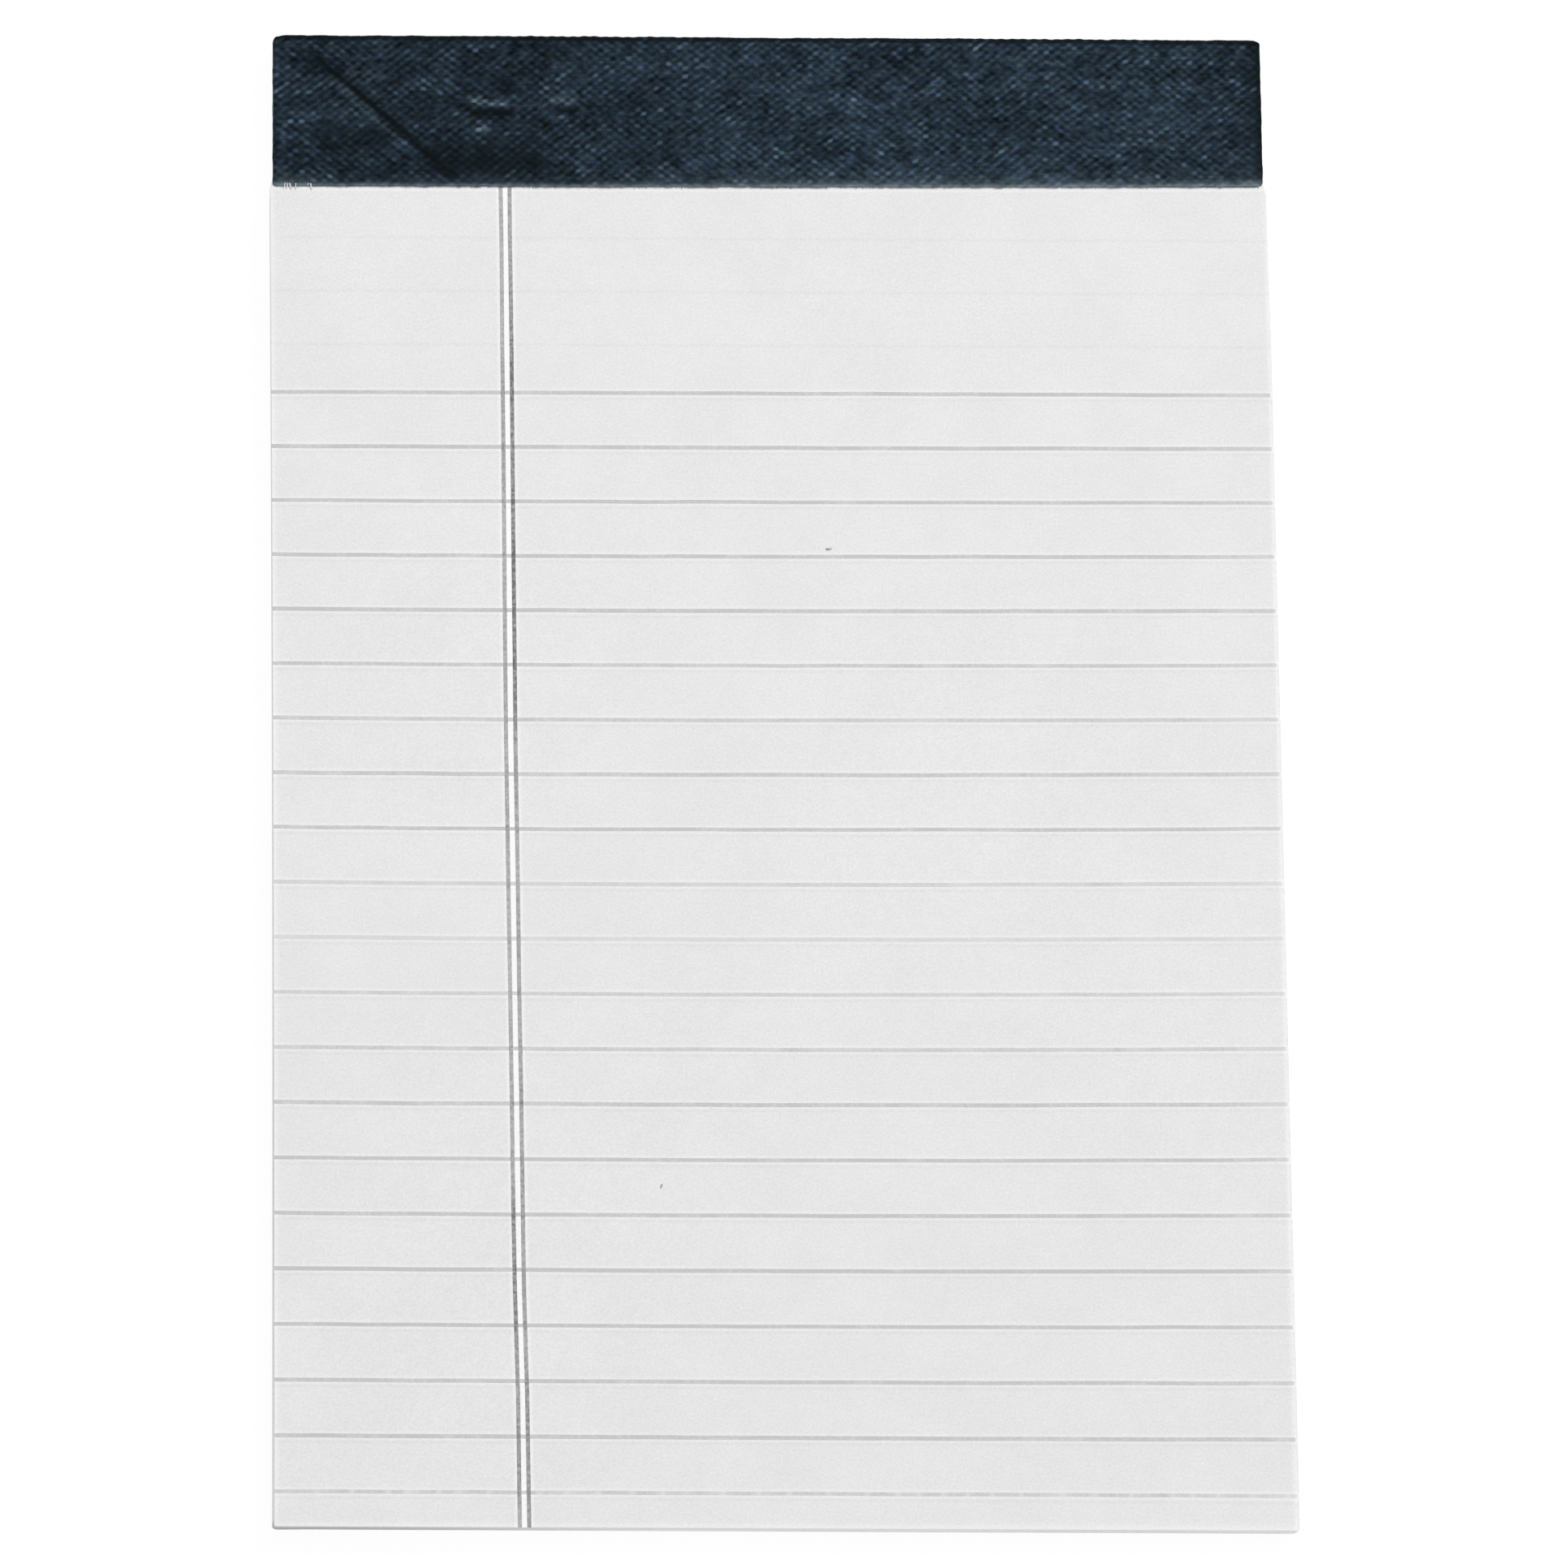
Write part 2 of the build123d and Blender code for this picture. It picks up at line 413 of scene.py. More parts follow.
def edge_material():
    """Cut edges of the stack: sheets of slightly different tone, streaked, and painted shade on the foot
    face, darker towards its left.
    """
    g = Graph("paper_edges", roughness=0.9, specular=0.1)
    x, y, z = g.parts(g.place)
    around = g.math("ADD", x, y)
    layers = g.joined(g.math("MULTIPLY", around, 0.03), g.math("MULTIPLY", z, 9.0))
    layers = g.noise(layers, 1.0, detail=2.0)
    streaks = g.joined(g.math("MULTIPLY", around, 0.9), g.math("MULTIPLY", z, 16.0))
    streaks = g.noise(streaks, 1.0, detail=3.0)
    tone = g.math("ADD", g.step(layers, 0.3, 0.7, 0.92, 1.04), g.step(streaks, 0.3, 0.7, -0.06, 0.04))
    # painted shade on the foot face: darker towards its left, a little lighter towards its right
    foot_painted_shade = g.math("SUBTRACT", g.step(x, -66.0, -8.0, 0.74, 1.12), 1.06)
    tone = g.math("MULTIPLY", tone, g.math("MULTIPLY_ADD", foot_painted_shade, g.step(y, -97.0, -96.3, 1.0, 0.0), 1.06))
    g.colour(g.shade(grey(EDGE_GREY), tone))
    g.bump(streaks, 0.03 * MM, 0.6)
    return g.material


def ink_material(name, level):
    """Printed line: ink on paper, its strength stored on the mesh and broken up by the paper's grain."""
    g = Graph(name, roughness=0.75, specular=0.2)
    strength = g.attribute("ink")
    grain = g.noise(g.place, 1.9, detail=3.0, roughness=0.7)
    broken = g.math("MULTIPLY", strength, g.step(grain, 0.3, 0.7, 0.74, 1.22))
    g.colour(g.mix(g.math("MINIMUM", broken, 1.0), grey(PAGE_GREY), grey(level)))
    return g.material


THREAD_X = 0.72
THREAD_S = 0.555
RISING = 0.55
CLOTH_CONTRAST = 0.34


def weave(u, v):
    """Height of the cloth from -1 to 1, from the numbers of threads across (u) and along (v)."""
    return RISING * np.cos(np.pi * (u - v)) - (1 - RISING) * np.cos(np.pi * (u + v))


def cloth_material():
    """Dark blue book cloth: light crowns of thread in a dark ground, slubs, wear, painted shade and
    highlights, and dusty cut edges.
    """
    g = Graph("book_cloth", roughness=0.9, specular=0.05)
    x, s = g.attribute("cloth_x"), g.attribute("cloth_s")
    u, v = g.attribute("thread_u"), g.attribute("thread_v")

    def field(across, along, layer, detail=2.0):
        """Noise over the cloth, about -1 to 1, with so many lumps to a millimetre each way."""
        place = g.joined(g.math("MULTIPLY", x, across), g.math("MULTIPLY", s, along), layer)
        return g.math("MULTIPLY_ADD", g.noise(place, 1.0, detail=detail), 4.0, -2.0)

    # crowns of the threads: their slant and clearness wander, and each has its own brightness
    share = g.math("MULTIPLY_ADD", field(0.11, 0.19, 1.0), 0.28, RISING)
    across, along = g.math("SUBTRACT", u, v), g.math("ADD", u, v)
    rising = g.math("COSINE", g.math("MULTIPLY", across, math.pi))
    falling = g.math("COSINE", g.math("MULTIPLY", along, math.pi))
    crown = g.math("SUBTRACT", g.math("MULTIPLY", rising, share),
                   g.math("MULTIPLY", falling, g.math("SUBTRACT", 1.0, share)))
    own = g.scatter(g.joined(g.math("ROUND", g.math("MULTIPLY", across, 0.5)),
                             g.math("FLOOR", g.math("MULTIPLY", along, 0.5))))
    clear = g.math("MULTIPLY_ADD", field(0.22, 0.34, 5.0), 0.6, 0.9)
    brightness = g.math("MULTIPLY_ADD", g.math("POWER", own, 2.0), 0.8, 0.64)
    brightness = g.math("MULTIPLY_ADD", g.math("POWER", own, 14.0), 0.8, brightness)
    speck = g.math("MULTIPLY", g.step(crown, -0.75, 1.0), brightness)
    pick = field(0.8, 1.15, 11.0, detail=1.0)
    cast = field(0.32, 0.48, 13.0, detail=1.0)
    fluff = field(1.35, 1.9, 17.0)
    slub = g.math("MAXIMUM", g.math("SUBTRACT", field(0.2, 1.9, 23.0), 0.3), 0.0)
    patch = field(0.09, 0.16, 31.0)

    level = g.math("MULTIPLY_ADD", g.math("MULTIPLY", speck, clear), 1.25, -0.6)
    for part, weight in ((pick, 0.75), (cast, 0.45), (fluff, 0.46), (slub, 0.9), (patch, 0.45)):
        level = g.math("MULTIPLY_ADD", part, weight, level)
    tone = g.math("MAXIMUM", g.math("MULTIPLY_ADD", level, CLOTH_CONTRAST, 1.0), 0.3)
    blue = g.step(field(0.7, 1.0, 37.0), -0.9, 0.9)
    green = g.step(field(1.4, 1.9, 43.0), -0.9, 0.9, 0.0, 0.8)
    cloth = g.mix(green, g.mix(blue, colour8(40, 50, 57), colour8(38, 49, 68)), colour8(35, 51, 59))
    cloth = g.shade(cloth, g.math("POWER", tone, 2.2))
    cloth = g.mix(g.step(tone, 1.2, 2.2, 0.0, 0.3), cloth, colour8(96, 106, 114))
    left_light = g.step(x, -tape_half / MM, -56.0, 0.18, 0.0)
    cloth = g.shade(cloth, g.math("ADD", g.step(x, -45.0, 10.0, 0.74, 1.05), left_light))

    uneven = g.math("MULTIPLY_ADD", pick, 0.35, 0.75)
    # painted shade: nearly black in the crease, under the wire ends, over the head fold and along the cut
    # sides
    painted_shade_share = g.math("MULTIPLY", g.attribute("painted_shade"), g.math("MULTIPLY_ADD", pick, 0.36, 0.88))
    cloth = g.mix(g.math("MINIMUM", painted_shade_share, 0.92), cloth, colour8(10, 16, 17))
    # painted highlights and lighter patches, speckled by the thread crowns
    wear_and_highlight_speckle = g.math("MULTIPLY_ADD", pick, 0.25, g.math("MULTIPLY_ADD", speck, 0.55, 0.15))
    wear_and_highlight = g.math("MULTIPLY", g.attribute("wear_and_highlight"), g.math("MAXIMUM", wear_and_highlight_speckle, 0.0))
    cloth = g.mix(g.math("MINIMUM", wear_and_highlight, 1.0), cloth, colour8(104, 122, 134))
    cloth = g.mix(g.math("MULTIPLY", g.attribute("frayed"), uneven), cloth, colour8(128, 144, 152))
    g.colour(cloth)
    g.bump(g.math("ADD", g.math("MULTIPLY", crown, 0.5), g.math("MULTIPLY", fluff, 0.12)), 0.05 * MM, 0.8)
    return g.material


def fibre_material():
    """Loose cotton ends along the cut edge of the tape."""
    g = Graph("cotton_ends", roughness=0.9, specular=0.1)
    tone = g.noise(g.place, 1.3, detail=2.0)
    cotton = g.mix(g.step(tone, 0.4, 0.62), colour8(84, 98, 106), colour8(190, 196, 194))
    x, _, _ = g.parts(g.place)
    g.colour(g.mix(g.step(x, FRAYS[-1] + 0.3, FRAYS[-1] + 0.2), cotton, colour8(228, 230, 226)))
    return g.material


def chipboard_material():
    """Raw light grey chipboard with pale and dark flecks of pulp."""
    g = Graph("chipboard", roughness=0.93, specular=0.1)
    pulp = g.noise(g.place, 0.8, detail=5.0, roughness=0.7)
    flecks = g.noise(g.stretched(g.place, (1.6, 0.7, 4.0)), 1.5, detail=2.0)
    board = g.mix(g.step(pulp, 0.3, 0.7), colour8(160, 156, 148), colour8(184, 180, 171))
    board = g.mix(g.step(flecks, 0.62, 0.72, 0.0, 0.6), board, colour8(118, 114, 106))
    board = g.mix(g.step(flecks, 0.38, 0.28, 0.0, 0.6), board, colour8(206, 203, 195))
    g.colour(board)
    g.bump(pulp, 0.05 * MM, 0.6)
    return g.material


def wire_material():
    """Galvanised stitching wire, drawn along its length."""
    g = Graph("stitching_wire", roughness=0.42, specular=0.5)
    g.shader.inputs["Metallic"].default_value = 1.0
    drawn = g.noise(g.stretched(g.place, (0.6, 9.0, 0.8)), 1.0, detail=3.0)
    g.colour(g.mix(g.step(drawn, 0.3, 0.7), grey(168), grey(204)))
    g.bump(drawn, 0.01 * MM, 0.5)
    return g.material


FLOOR_SHADED = 0.085
FLOOR_GLOW = 0.935


def seen_directly(tree):
    """1 for what the camera sees, itself or in gloss and glass, and 0 for what lights the pad."""
    path = tree.nodes.new("ShaderNodeLightPath")
    seen = path.outputs["Is Camera Ray"]
    for other in ("Is Glossy Ray", "Is Transmission Ray"):
        node = tree.nodes.new("ShaderNodeMath")
        node.operation = "MAXIMUM"
        tree.links.new(seen, node.inputs[0])
        tree.links.new(path.outputs[other], node.inputs[1])
        seen = node.outputs[0]
    return seen


def floor_material():
    """Plain floor that looks white and keeps a faint shadow."""
    g = Graph("floor", roughness=1.0, specular=0.0)
    seen = seen_directly(g.tree)
    g.colour(g.mix(seen, (0.95, 0.95, 0.95, 1.0), (FLOOR_SHADED, FLOOR_SHADED, FLOOR_SHADED, 1.0)))
    g.shader.inputs["Emission Color"].default_value = (1.0, 1.0, 1.0, 1.0)
    g.wire(g.math("MULTIPLY", seen, FLOOR_GLOW), g.shader.inputs["Emission Strength"])
    return g.material


# Stack of sheets

FOOT_LEFT_CORNER = 0.15 * MM
FOOT_RIGHT_CORNER = 0.38 * MM
HEAD_CORNER = 1.0 * MM
SQUEEZE = 0.4 * MM
SQUEEZE_LENGTH = 0.8 * MM
LEFT_LEAN = 0.48 * MM
LEFT_BOW = 0.16 * MM
RIGHT_SPREAD = 0.2 * MM
FAN_FOOT = 0.16 * MM
FAN_FINE = 0.035 * MM
GROOVE = 0.03 * MM
RIM_LIGHT = 0.5 * MM

fan_drift = wander(SHEET_COUNT, 9, 1.0, 21)
fan_slide = wander(SHEET_COUNT, 7, 1.0, 22)
fan_jitter = rng.normal(0, 1, (SHEET_COUNT + 1, 2))


def side_limits(y):
    """Left and right edge of a sheet at y, rounded at the corners and drawn in under the tape."""
    limits = []
    for foot_corner in (FOOT_LEFT_CORNER, FOOT_RIGHT_CORNER):
        into_foot = np.clip(foot_y + foot_corner - y, 0, foot_corner)
        into_head = np.clip(y - head_y + HEAD_CORNER, 0, HEAD_CORNER)
        cut = foot_corner - np.sqrt(foot_corner ** 2 - into_foot ** 2)
        cut = cut + HEAD_CORNER - np.sqrt(HEAD_CORNER ** 2 - into_head ** 2)
        drawn = SQUEEZE * smooth(tape_foot_y - SQUEEZE_LENGTH, tape_foot_y, y)
        limits.append(half_sheet - cut - drawn)
    lean = LEFT_LEAN * foot_share(y) + LEFT_BOW * np.sin(math.pi * foot_share(y))
    spread = RIGHT_SPREAD * smooth(0, 0.15, foot_share(y))
    return lean - limits[0], limits[1] + spread


def fanned(x, y, sheet):
    """Moves a point of one sheet sideways and lengthwise, as the sheets of a used pad lie."""
    free = foot_share(y)
    below = 1 - sheet / SHEET_COUNT
    side = FAN_FOOT * (0.5 * fan_drift(sheet) - 0.9 * below) * free + FAN_FINE * fan_jitter[sheet, 0] * free
    along = (0.6 * FAN_FOOT * fan_slide(sheet) + FAN_FINE * fan_jitter[sheet, 1]) * free
    return x + side * below ** 0.5, y + np.abs(along) * below ** 0.5


def outline():
    """Points round one sheet, seen from above, counter-clockwise from the foot's left corner."""
    right_y = spaced(foot_y, head_y, 0.12 * MM, 3.0 * MM, 1.0 * MM)
    left, right = side_limits(right_y)
    foot_x = spaced(left[0], right[0], 0.6 * MM, 2.6 * MM, 1.2 * MM)
    head_x = np.linspace(half_sheet - SQUEEZE - HEAD_CORNER, -half_sheet + SQUEEZE + HEAD_CORNER, 30)
    xs = np.concatenate([foot_x[1:-1], right, head_x[1:-1], left[::-1]])
    foot, head = np.full(len(foot_x) - 2, foot_y), np.full(len(head_x) - 2, head_y)
    return xs, np.concatenate([foot, right_y, head, right_y[::-1]])


def make_stack():
    """All sheets under the top one, as one solid whose edges show each sheet."""
    xs, ys = outline()
    count = len(xs)
    middle = np.array([0.0, sheet_middle_y])
    away = np.stack([xs, ys], 1) - middle
    inward = -away / np.linalg.norm(away, axis=1)[:, None]
    loops = []
    for sheet in range(SHEET_COUNT - 1):
        x, y = fanned(xs, ys, sheet)
        for share, inset in ((0.12, GROOVE), (0.3, 0.0), (0.8, 0.0)):
            px = x + inward[:, 0] * inset
            py = slanted(x, y + inward[:, 1] * inset)
            height = (sheet + share) / SHEET_COUNT
            loops.append(np.stack([px, py, stack_point(xs, ys, height)], 1))
    loops[0][:, 2] = stack_low_z
    points = np.concatenate(loops)
    faces = []
    for row in range(len(loops) - 1):
        at = row * count
        for k in range(count):
            following = (k + 1) % count
            faces.append([at + k, at + following, at + count + following, at + count + k])
    faces.append(list(range(count))[::-1])
    faces.append(list(range((len(loops) - 1) * count, len(loops) * count)))
    stack = new_mesh("sheet_stack", points, faces, smooth_shaded=False)
    stack.data.materials.append(edge_material())
    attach(stack, "root")
    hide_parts("page_block")
    return stack


def make_top_sheet(material):
    """The sheet that shows, gently wavy, with its free edges rolled down by handling."""
    rows_y = spaced(foot_y, head_y, 0.12 * MM, 1.6 * MM, 1.6 * MM)
    share = spaced(0.0, 1.0, 0.0011, 0.0125, 0.012)
    left, right = side_limits(rows_y)
    x = left[:, None] + (right - left)[:, None] * share[None, :]
    y = np.repeat(rows_y[:, None], len(share), axis=1)
    upper = np.stack([x, slanted(x, y), stack_point(x, y, 1.0)], axis=-1)
    lower = np.stack([x, slanted(x, y), stack_point(x, y, 1 - 0.9 / SHEET_COUNT)], axis=-1)
    sheet = closed_sheet("top_sheet", upper, lower)
    inset = np.minimum(x - left[:, None], y - foot_y)
    from_right = right[:, None] - x
    # how strongly each point gets the painted highlight along the cut edges, full at the left and foot
    lit = np.maximum(np.exp(-(inset / RIM_LIGHT) ** 2), 0.4 * np.exp(-(from_right / RIM_LIGHT) ** 2))
    set_attribute(sheet, "rim", np.tile(lit.ravel(), 2))
    set_attribute(sheet, "printed", np.tile(((y - drift(x, y)) / MM).ravel(), 2))
    set_attribute(sheet, "from_margin", np.tile(((x - margin_centre(y)) / MM).ravel(), 2))
    sheet.data.materials.append(material)
    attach(sheet, "root")
    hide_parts("page_block")
    return sheet


# Print

INK_LIFT = 0.008 * MM
FULL_RULE = 0.95
BREAK_DEPTH = 0.55
BREAK_REACH = 0.35 * MM
CROSSING_DEPTH = 0.2
CROSSING_REACH = 0.35 * MM

# Strength of the ink of the rules that differ from a full one, by their number from the head
RULE_STRENGTH = {5: 0.8, 6: 0.74, 7: 0.82, 9: 0.6, 10: 0.44, 11: 0.66, 12: 0.72, 13: 0.86,
                 16: 1.08, 17: 1.06, 20: 0.74}


def strip(length, width, wobble, place, lift):
    """Upper points of a thin printed strip, as two rows, and the distance and the share along it.

    `place` gives the point at a distance along the strip and at an offset across it.
    """
    distance = spaced(0, length, 0.07 * MM, 0.45 * MM, 1.4 * MM)
    rows = []
    for edge in (-0.5, 0.5):
        x, y = place(distance, wobble(distance) + edge * width)
        rows.append(np.stack([x, slanted(x, y), stack_point(x, y, 1.0) + lift], 1))
    return np.stack(rows), distance, distance / length


def join_strips(name, strips, material, node):
    """One printed piece from many strips, each a thin closed solid with its own strength of ink."""
    points, faces, inks = [], [], []
    first = 0
    for rows, ink in strips:
        columns = rows.shape[1]
        lower = rows.copy()
        lower[..., 2] -= 2.5 * INK_LIFT
        points += [rows.reshape(-1, 3), lower.reshape(-1, 3)]
        count = 2 * columns
        faces += grid_faces(2, columns, first) + grid_faces(2, columns, first + count, flipped=True)
        above = rim(2, columns, first)
        below = rim(2, columns, first + count)
        for a, b, c, d in zip(above, np.roll(above, -1), np.roll(below, -1), below):
            faces.append([int(b), int(a), int(d), int(c)])
        inks.append(np.tile(ink, 4))
        first += 2 * count
    piece = new_mesh(name, np.concatenate(points), faces, smooth_shaded=False)
    piece.data.materials.append(material)
    set_attribute(piece, "ink", np.concatenate(inks))
    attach(piece, "root")
    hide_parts(node)
    return piece


def make_rules():
    """The writing rules, each with its own strength of ink, the last one broken in places."""
    strips = []
    for line in range(rule_count):
        y = first_rule_y - line * RULE_SPACING
        width = RULE_WIDTH * (1 + 0.06 * math.sin(line * 2.1))
        wobble = wander(2 * half_sheet, 6 * MM, 0.018 * MM, 100 + line)
        left, right = side_limits(y)

        def place(distance, offset):
            x = left + PRINT_INSET + distance
            return x, y + offset + drift(x, y)

        rows, distance, along = strip(right - RULE_STOP_RIGHT - left, width, wobble, place, INK_LIFT)
        patchy = 1 + wander(2 * half_sheet, 2.2 * MM, 0.11, 200 + line)(distance)
        ink = RULE_STRENGTH.get(line, FULL_RULE) * patchy * (1 - 0.3 * smooth(0.9, 1.0, along))
        if line == rule_count - 1:
            breaks = np.cumsum(np.random.default_rng(260).uniform(2.2, 5.5, 40)) * MM
            nearest = np.abs(distance[:, None] - breaks[None, :]).min(axis=1)
            ink = ink * (1 - BREAK_DEPTH * np.exp(-(nearest / BREAK_REACH) ** 2))
        strips.append((rows, np.clip(ink, 0, 1.2)))
    material = ink_material("rule_ink", RULE_GREY)
    return join_strips("printed_rules", strips, material, "rule_lines")


def make_margin():
    """The double margin line, its right-hand line darkest above the middle, darker at each rule."""
    strips = []
    for side in (-1, 1):
        wobble = wander(head_y - foot_y, 14 * MM, 0.02 * MM, 300 + side)

        def place(distance, offset):
            y = foot_y + PRINT_INSET + distance
            return margin_centre(y) + side * MARGIN_GAP / 2 + offset, y

        length = margin_high.y - foot_y - PRINT_INSET
        rows, distance, along = strip(length, MARGIN_WIDTH, wobble, place, 1.5 * INK_LIFT)
        patchy = 1 + wander(head_y - foot_y, 5 * MM, 0.07, 310 + side)(distance)
        if side > 0:
            ink = 0.64 + 0.2 * np.exp(-((along - 0.66) / 0.17) ** 4)
            ink = ink + 0.06 * np.exp(-((along - 0.07) / 0.06) ** 2)
            ink = ink - 0.04 * np.exp(-((along - 0.46) / 0.08) ** 2)
        else:
            ink = 0.57 + 0.23 * np.exp(-((along - 0.13) / 0.11) ** 4)
        nearest = to_rule(*place(distance, 0.0))
        crossed = 1 + CROSSING_DEPTH * np.exp(-(nearest / CROSSING_REACH) ** 2)
        # this strip runs along the pad, so its two rows change places to keep the printed face up
        strips.append((rows[::-1], ink * patchy * crossed))
    material = ink_material("margin_ink", MARGIN_GREY)
    return join_strips("printed_margin", strips, material, "margin_lines")


def make_flecks(material):
    """Two grey flecks in the paper: place, half length, half width and turn of each."""
    flecks = (((7.0, 28.9), 0.42, 0.17, 4), ((-15.4, -54.2), 0.33, 0.13, 72))
    points, faces = [], []
    for (x, y), long, short, turn in flecks:
        ring = np.linspace(0, 2 * math.pi, 20, endpoint=False)
        across = np.stack([np.cos(ring) * long * MM, np.sin(ring) * short * MM], 1)
        across *= (1 + 0.15 * np.sin(3 * ring + x))[:, None]
        angle = math.radians(turn)
        cosine, sine = math.cos(angle), math.sin(angle)
        turned = across @ np.array([[cosine, sine], [-sine, cosine]])
        first = len(points)
        for lift in (INK_LIFT, -INK_LIFT):
            for dx, dy in turned:
                px, py = x * MM + dx, y * MM + dy
                points.append((px, py, float(stack_point(px, py, 1.0)) + lift))
        count = len(turned)
        faces.append([first + k for k in range(count)])
        faces.append([first + count + k for k in range(count)][::-1])
        for k in range(count):
            following = (k + 1) % count
            faces.append([first + following, first + k, first + count + k, first + count + following])
    piece = new_mesh("paper_flecks", points, faces, smooth_shaded=False)
    piece.data.materials.append(material)
    set_attribute(piece, "ink", np.full(len(points), 0.9))
    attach(piece, "root")
    return piece


# Cloth tape

WEAVE_RELIEF = 0.04 * MM
FRONT_DEPTH = 0.6 * MM
EDGE_ROLL = 0.55 * MM
EDGE_ROLL_DROP = 0.13 * MM
HEAD_CORNERS = (1.3 * MM, 0.9 * MM)
LEG_CORNERS = (0.25 * MM, 0.75 * MM)
HEAD_EDGE_SHIFT = -0.06 * MM
HEAD_EDGE_SLANT = 0.0022
FOOT_EDGE_SHIFT = -0.085 * MM
FOOT_EDGE_SLANT = 0.0051
FOOT_EDGE_BEND = 0.0335
BUMP_WIDTH = 0.62 * MM
BUMP_HEIGHTS = {-1: (0.36, 0.33), 1: (0.05, 0.05)}
BUMP_END_HEIGHT = 0.72
CREASE = ((-60.6, 95.7), (-57.1, 92.6), (-53.9, 89.8), (-47.4, 83.9), (-41.6, 78.4))
CREASE_WIDTH = 0.45
CREASE_DEPTH = 0.11 * MM

# Marks on the tape in mm: from and to across the pad, place along it, half width, and strength
# painted highlights: the first four lie over the clinched wire ends, the others are lighter patches of
# cloth
WEAR_AND_HIGHLIGHT_MARKS = ((-39.0, -36.6, 88.5, 0.55, 1.0), (-36.6, -34.1, 88.2, 0.34, 0.9),
              (-28.6, -25.4, 88.8, 0.45, 0.9), (-38.4, -36.4, 85.0, 0.42, 0.9),
              (-55.5, -50.0, 92.2, 0.9, 0.25), (36.0, 39.0, 94.0, 0.25, 0.4),
              (43.5, 52.0, 83.0, 0.22, 0.35))
# painted shade: below the clinched wire ends and over the warped cloth round the crease
PAINTED_SHADE_MARKS = ((-38.9, -33.2, 87.05, 0.5, 1.0), (-28.0, -25.4, 87.35, 0.36, 0.7),
                 (-45.0, -30.0, 81.2, 2.2, 0.68), (-58.5, -49.5, 83.3, 1.8, 0.48),
                 (-50.6, -47.2, 85.9, 0.9, 0.45), (-56.0, -28.0, 79.4, 1.3, 0.22))


def tape_section():
    """Points along the outside of the tape, front edge to back edge: arc length, y, z, normal."""
    outer_bend = HEAD_BEND + tape_thickness
    top_z = page_top_z + tape_thickness
    outer_y = head_y + tape_thickness
    turn = 2 * tape_thickness
    rows = []
    front = head_y - HEAD_BEND - tape_foot_y
    for t in np.linspace(0, front, round(front / (THREAD_S * MM / 3)) + 1):
        rows.append((t, tape_foot_y + t, top_z, 0.0, 1.0))
    for angle in np.linspace(0, math.pi / 2, 8)[1:]:
        normal = (math.sin(angle), math.cos(angle))
        rows.append((front + angle * outer_bend, head_y - HEAD_BEND + normal[0] * outer_bend,
                     page_top_z - HEAD_BEND + normal[1] * outer_bend, *normal))
    spine_start = front + math.pi / 2 * outer_bend
    spine = page_top_z - HEAD_BEND - turn
    for t in np.linspace(0, spine, 13)[1:]:
        rows.append((spine_start + t, outer_y, page_top_z - HEAD_BEND - t, 1.0, 0.0))
    turn_start = spine_start + spine
    for angle in np.linspace(0, math.pi / 2, 6)[1:]:
        normal = (math.cos(angle), -math.sin(angle))
        rows.append((turn_start + angle * turn, outer_y - turn + normal[0] * turn,
                     turn + normal[1] * turn, *normal))
    back_start = turn_start + math.pi / 2 * turn
    back = TAPE_BACK_DROP - turn + tape_thickness
    for t in np.linspace(0, back, 36)[1:]:
        rows.append((back_start + t, outer_y - turn - t, 0.0, 0.0, -1.0))
    return np.array(rows)


def tape_limits(s, y, last_s):
    """Left and right edge of the tape, rounded at its four leg corners and at the head."""
    limits = []
    for corner, head_corner in zip(LEG_CORNERS, HEAD_CORNERS):
        from_end = np.minimum(np.minimum(s, last_s - s), corner)
        cut = corner - np.sqrt(np.maximum(corner ** 2 - (corner - from_end) ** 2, 0))
        into_head = np.clip(y - head_y - tape_thickness + head_corner, 0, head_corner)
        cut = cut + head_corner - np.sqrt(head_corner ** 2 - into_head ** 2)
        limits.append(tape_half - cut)
    return -limits[0], limits[1]


def crease_offset(x, y):
    """Signed distance from the crease in mm, positive to its upper right, and how much of it is there."""
    crease = np.array(CREASE)
    along = np.interp(x / MM, crease[:, 0], crease[:, 1])
    slope = (crease[-1, 1] - crease[0, 1]) / (crease[-1, 0] - crease[0, 0])
    offset = (y / MM - along) / math.hypot(1, slope)
    offset = offset + wander(30 * MM, 0.8 * MM, 0.08, 43)(x + tape_half)
    there = smooth(crease[0, 0] - 0.5, crease[0, 0] + 2.4, x / MM)
    return offset, there * (1 - smooth(crease[-1, 0], crease[-1, 0] + 2, x / MM))


def clinches():
    """Each clinched wire end: where it leaves its leg, where it stops, and how high it lifts the tape."""
    for side, heights in BUMP_HEIGHTS.items():
        for inward, height in zip((1, -1), heights):
            centre = side * (wires_high.x - STITCH_CROWN / 2)
            start = centre - inward * (STITCH_CROWN / 2 - 0.25 * MM)
            yield start, start + inward * CLINCH_LENGTH, height * MM


